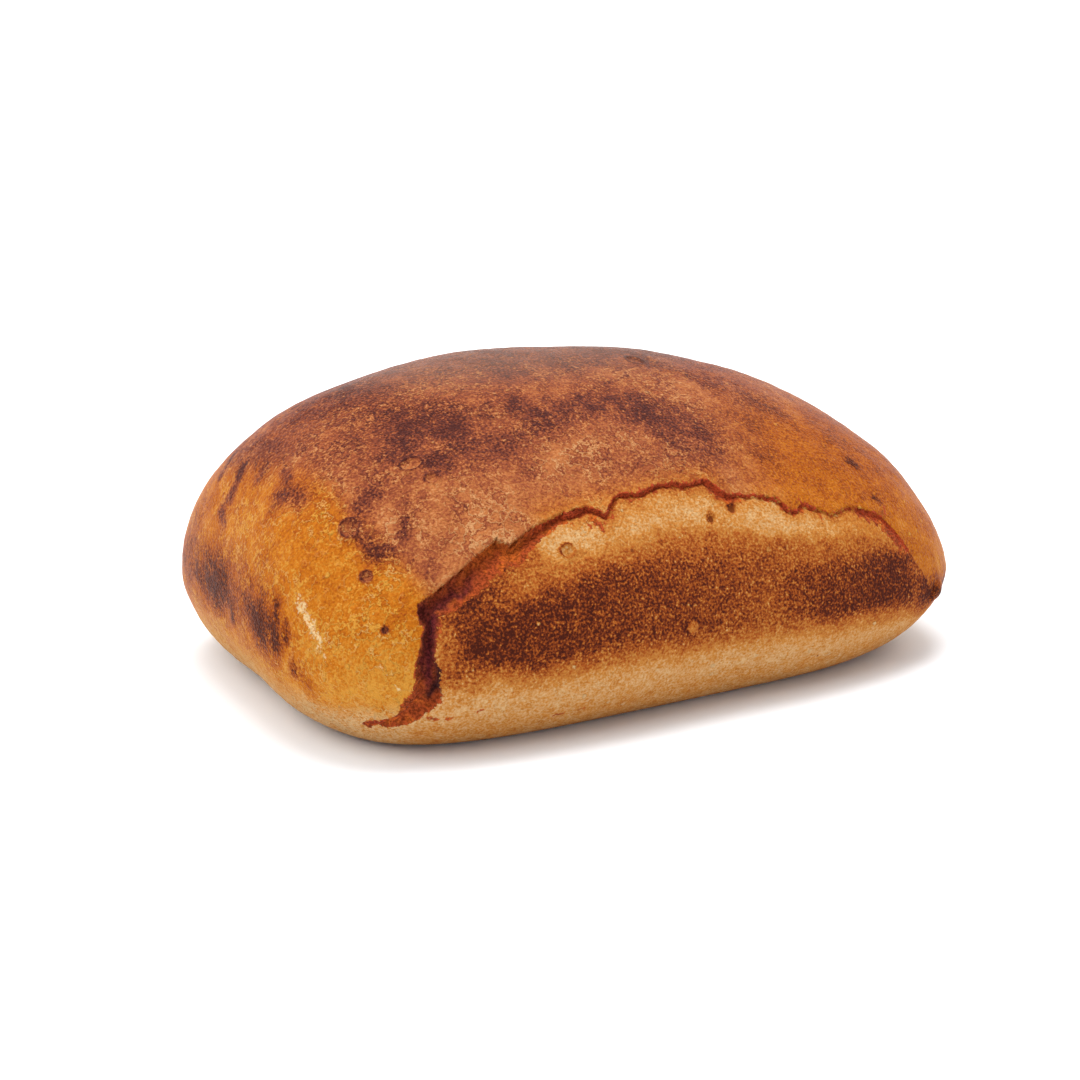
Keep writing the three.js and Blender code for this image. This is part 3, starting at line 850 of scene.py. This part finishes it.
# the panel's own colours fade out at its right end, and reach round the whole foot
right_fade = 1 - 0.5 * smooth(x, 25, 60) * smooth(z, 30, 40)
put_value("panel", np.maximum(panel * right_fade, foot))
# how tightly the skin is drawn into wrinkles, and a greyish bloom on the crown: faint dust and a
# painted sheen of the bright surround
put_value("drawn", lerp(1 - 0.75 * right_golden, 0.3, panel))
put_value("dust_and_sheen", 0.34 * smooth(z + 0.12 * y, 73, 83))

# Loaf, its crust: thin dry skin, dull on the sides and faintly glossy on top. The browning is
# broken into grains, and each zone browns through colours of its own.
GOLDEN_RAMP = [(190, 131, 50), (173, 98, 20), (143, 68, 16), (104, 45, 13), (66, 25, 10)]
ROSY_RAMP = [(188, 134, 88), (168, 101, 56), (134, 68, 41), (98, 47, 34), (68, 32, 28)]
PANEL_RAMP = [(196, 156, 107), (179, 117, 52), (152, 76, 28), (107, 46, 22), (66, 27, 18)]
# pale colour of the flour scratches and of the painted glints
FLOUR_AND_GLINT = (210, 180, 132)
PIT = (118, 58, 26)
# greyish colour of the crown's bloom: faint dust and painted sheen
DUST_AND_SHEEN = (133, 113, 100)
GRAIN_SIZE = 0.65
PEBBLE_SIZE = 0.8
BLISTER_SIZE = 4.2
SPECKLE_SIZE = 2.6
WRINKLE_SIZE = 3
CLOUD_SIZE = 12
WARP = 0.8
BUMP_HEIGHT = 0.4
GLOSS = 0.02
SHEEN = 0.02
SHEEN_ROUGHNESS = 0.4
TORN_EDGE = (0.46, 0.56)
MM = 0.001

crust = bpy.data.materials.new("baked_crust")
crust.use_nodes = True
nodes, links = crust.node_tree.nodes, crust.node_tree.links
shader = nodes["Principled BSDF"]


def add_node(kind, **settings):
    made = nodes.new(kind)
    for name, value in settings.items():
        setattr(made, name, value)
    return made


def connect(socket_from, socket_to):
    links.new(socket_from, socket_to)


def add_noise(lump_mm, detail=2, roughness=0.5):
    made = add_node("ShaderNodeTexNoise")
    made.inputs["Scale"].default_value = 1 / (lump_mm * MM)
    made.inputs["Detail"].default_value = detail
    made.inputs["Roughness"].default_value = roughness
    connect(coordinates.outputs["Object"], made.inputs["Vector"])
    return made


def add_math(operation, first, second):
    made = add_node("ShaderNodeMath", operation=operation)
    for socket, value in zip(made.inputs, (first, second)):
        if isinstance(value, (int, float)):
            socket.default_value = value
        else:
            connect(value, socket)
    return made.outputs[0]


def add_range(value, low, high, to_low=0, to_high=1):
    made = add_node("ShaderNodeMapRange", interpolation_type="SMOOTHSTEP")
    connect(value, made.inputs["Value"])
    for name, number in zip(("From Min", "From Max", "To Min", "To Max"), (low, high, to_low, to_high)):
        made.inputs[name].default_value = number
    return made.outputs["Result"]


def add_mix(factor, first, second, blend="MIX"):
    made = add_node("ShaderNodeMix", data_type="RGBA", blend_type=blend)
    for index, value in ((0, factor), (6, first), (7, second)):
        if isinstance(value, (int, float, tuple)):
            made.inputs[index].default_value = value
        else:
            connect(value, made.inputs[index])
    return made.outputs[2]


def add_ramp(factor, colours):
    made = add_node("ShaderNodeValToRGB")
    steps = made.color_ramp.elements
    while len(steps) < len(colours):
        steps.new(0.5)
    for index, colour in enumerate(colours):
        steps[index].position = index / (len(colours) - 1)
        steps[index].color = (*linear(colour), 1)
    connect(factor, made.inputs["Fac"])
    return made.outputs["Color"]


def attribute(name, kind="Fac"):
    return add_node("ShaderNodeAttribute", attribute_name=name).outputs[kind]


def add_cells(size_mm):
    """Small round cells, their edges bent by noise, and a random value for each."""
    made = add_node("ShaderNodeTexVoronoi", feature="F1")
    made.inputs["Scale"].default_value = 1 / (size_mm * MM)
    connect(warp.outputs["Vector"], made.inputs["Vector"])
    pick = add_node("ShaderNodeSeparateColor")
    connect(made.outputs["Color"], pick.inputs["Color"])
    return made.outputs["Distance"], pick.outputs["Red"]


coordinates = add_node("ShaderNodeTexCoord")
grain = add_noise(GRAIN_SIZE, 2, 0.55).outputs["Fac"]
speckle = add_noise(SPECKLE_SIZE, 3, 0.6).outputs["Fac"]
warp = add_node("ShaderNodeVectorMath", operation="MULTIPLY_ADD")
connect(add_noise(GRAIN_SIZE).outputs["Color"], warp.inputs[0])
warp.inputs[1].default_value = (WARP * MM, WARP * MM, WARP * MM)
connect(coordinates.outputs["Object"], warp.inputs[2])

# pebbles: tiny blisters, some of them with a pale top painted on as a highlight
pebble, pebble_pick = add_cells(PEBBLE_SIZE)
pebble_top = add_range(pebble, 0.5, 0.1)
pebble_highlight = add_math("MULTIPLY", pebble_top, add_range(pebble_pick, 0.45, 0.95))

# wrinkles: thin lines where the skin drew tight over the dome; the colour is painted paler along
# them as a highlight and darker beside them as shade in the creases
crease = add_math("SUBTRACT", add_noise(WRINKLE_SIZE, 3, 0.6).outputs["Fac"], 0.5)
cloud = add_noise(CLOUD_SIZE, 2, 0.5).outputs["Fac"]
crease_side = add_math("ABSOLUTE", add_math("SUBTRACT", crease, 0.07), 0)
crease = add_math("ABSOLUTE", crease, 0)
drawn = add_math("MULTIPLY", attribute("drawn"), add_range(cloud, 0.4, 0.6, 0.35, 1))
wrinkle = add_math("MULTIPLY", add_range(crease, 0.045, 0), drawn)
wrinkle_shade = add_math("MULTIPLY", add_range(crease_side, 0.04, 0), drawn)

# blisters: scattered specks that stand up from the skin, their tops painted pale as highlights
blister, blister_pick = add_cells(BLISTER_SIZE)
blister_top = add_range(blister, 0.17, 0.08)
blister_top = add_math("MULTIPLY", blister_top, add_range(blister_pick, 0.5, 0.7))

# the browning, broken into grains: the browner the crust, the more its grains stand out
power = add_range(attribute("bake"), 0.2, 0.8, 0.6, 1.9)
power = add_math("MULTIPLY", power, add_range(attribute("panel"), 0, 1, 0.9, 1))
wave = add_math("SUBTRACT", grain, 0.5)
speckle_wave = add_math("SUBTRACT", speckle, 0.5)
bake_here = add_math("MULTIPLY_ADD", wave, power)
connect(attribute("bake"), bake_here.node.inputs[2])
speckle_power = add_range(attribute("panel"), 0, 1, 0.35, 0.4)
bake_here = add_math("ADD", bake_here, add_math("MULTIPLY", speckle_wave, speckle_power))
# painted highlights: paler tops of some pebbles
highlight_power = add_range(attribute("bake"), 0.15, 0.8, 0.06, 0.34)
bake_here = add_math("SUBTRACT", bake_here, add_math("MULTIPLY", pebble_highlight, highlight_power))
# painted highlight: paler along the wrinkles
bake_here = add_math("SUBTRACT", bake_here, add_math("MULTIPLY", wrinkle, 0.32))
# painted shade: darker beside the wrinkles
shade_power = add_range(attribute("golden"), 0, 1, 0.24, 0.1)
bake_here = add_math("ADD", bake_here, add_math("MULTIPLY", wrinkle_shade, shade_power))
# painted highlights: paler tops of the blisters
bake_here = add_math("SUBTRACT", bake_here, add_math("MULTIPLY", blister_top, 0.36))
bake_here = add_math("ADD", bake_here, 0.04)

# each zone browns through its own colours, with a greyish bloom on the crown: faint dust and a
# painted sheen
rosy, gold, tan = (add_ramp(bake_here, ramp) for ramp in (ROSY_RAMP, GOLDEN_RAMP, PANEL_RAMP))
cap_colour = add_mix(attribute("golden"), rosy, gold)
cap_colour = add_mix(attribute("dust_and_sheen"), cap_colour, (*linear(DUST_AND_SHEEN), 1))
colour = add_mix(attribute("panel"), cap_colour, tan)

# on top: painted glints as pale strokes along the wrinkles of the golden skin, then pores, torn
# strips and flour
glint = add_math("MULTIPLY", wrinkle, add_range(attribute("golden"), 0.3, 1, 0, 0.22))
glint = add_math("MULTIPLY", glint, add_range(speckle, 0.5, 0.58))
glint = add_math("MULTIPLY", glint, add_range(attribute("bake"), 0.5, 0.3))
glint = add_math("MULTIPLY", glint, add_range(attribute("drawn"), 0.4, 0.9))
colour = add_mix(glint, colour, (*linear(FLOUR_AND_GLINT), 1))
colour = add_mix(add_range(attribute("pit"), 0.2, 0.7), colour, (*linear(PIT), 1))
torn_here = add_math("ADD", attribute("torn"), add_math("MULTIPLY", wave, 0.5))
torn_light = add_mix(add_range(grain, 0.36, 0.64), (0.6, 0.6, 0.6, 1), (1.35, 1.35, 1.35, 1))
torn_paint = add_mix(1, attribute("torn_colour", "Color"), torn_light, "MULTIPLY")
colour = add_mix(add_range(torn_here, *TORN_EDGE), colour, torn_paint)
flour_here = add_math("ADD", attribute("flour"), add_math("MULTIPLY", wave, 1.8))
flour_here = add_math("ADD", flour_here, add_math("MULTIPLY", speckle_wave, 2.4))
flour_here = add_range(flour_here, 0.55, 1.2, 0, 0.85)
flour_here = add_math("MULTIPLY", flour_here, add_range(attribute("flour"), 0.02, 0.2))
colour = add_mix(flour_here, colour, (*linear(FLOUR_AND_GLINT), 1))
connect(colour, shader.inputs["Base Color"])

roughness = add_range(attribute("panel"), 0, 1, 0.38, 0.7)
connect(roughness, shader.inputs["Roughness"])
shader.inputs["Specular IOR Level"].default_value = GLOSS
shader.inputs["Sheen Weight"].default_value = SHEEN
shader.inputs["Sheen Roughness"].default_value = SHEEN_ROUGHNESS

height = add_math("ADD", grain, add_math("MULTIPLY", speckle, 0.8))
height = add_math("ADD", height, add_math("MULTIPLY", wrinkle, 0.5))
height = add_math("ADD", height, blister_top)
height = add_math("ADD", height, add_math("MULTIPLY", pebble_top, 0.35))
bump = add_node("ShaderNodeBump")
bump.inputs["Distance"].default_value = BUMP_HEIGHT * MM
bump.inputs["Strength"].default_value = 1
connect(height, bump.inputs["Height"])
connect(bump.outputs["Normal"], shader.inputs["Normal"])

# Loaf, last: it goes into its place over the built part, in metres, with its cut faces turned to
# triangles and its skin smooth. The one piece of bread rests on its flat underside.
loaf.data.materials.append(crust)
places = get_points("co") * MM
low, high = (np.array(corner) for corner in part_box("loaf"))
places[:, :2] += ((low + high) / 2 - (places.min(0) + places.max(0)) / 2)[:2]
put_points(places)
bpy.ops.object.mode_set(mode="EDIT")
bpy.ops.mesh.select_all(action="DESELECT")
bpy.ops.mesh.select_face_by_sides(number=4, type="GREATER", extend=False)
bpy.ops.mesh.quads_convert_to_tris(quad_method="BEAUTY", ngon_method="BEAUTY")
bpy.ops.object.mode_set(mode="OBJECT")
bpy.ops.object.shade_smooth()
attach(loaf, "root")
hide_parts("loaf")
